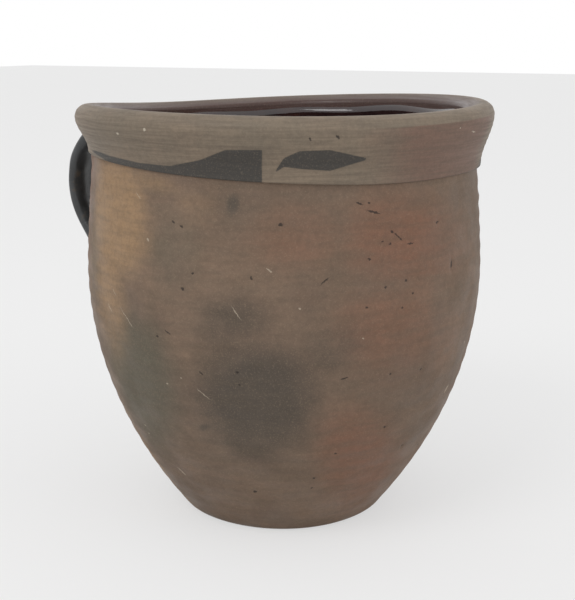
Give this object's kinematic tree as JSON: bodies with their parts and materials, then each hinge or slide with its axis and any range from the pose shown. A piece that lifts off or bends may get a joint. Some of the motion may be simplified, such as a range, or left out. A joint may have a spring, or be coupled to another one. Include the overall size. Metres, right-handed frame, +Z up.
{
  "type": "redware crock",
  "caption": "Thrown clay crock with a full belly, a narrow flat base, a heavy flared collar, a pulled strap handle and a dark glazed inside.",
  "frame": {"origin": "centre of the flat base, on the axis that the pot was turned about", "axes": "+Z up through the mouth; the strap handle stands towards -X"},
  "size_m": [0.255, 0.22, 0.22],
  "materials": {
    "bare_clay": "unglazed, smoked and rubbed",
    "collar_clay": "unglazed, wiped, with a dark run of slip",
    "handle_glaze": "dark semi-gloss glaze",
    "inside_glaze": "gloss brown-black glaze"
  },
  "bodies": {
    "root": {"thrown_body": "bare_clay", "rim_collar": "collar_clay", "strap_handle": "handle_glaze", "handle_top_pad": "handle_glaze", "handle_foot_pad": "handle_glaze", "interior_glaze": "inside_glaze"}
  },
  "joints": []
}
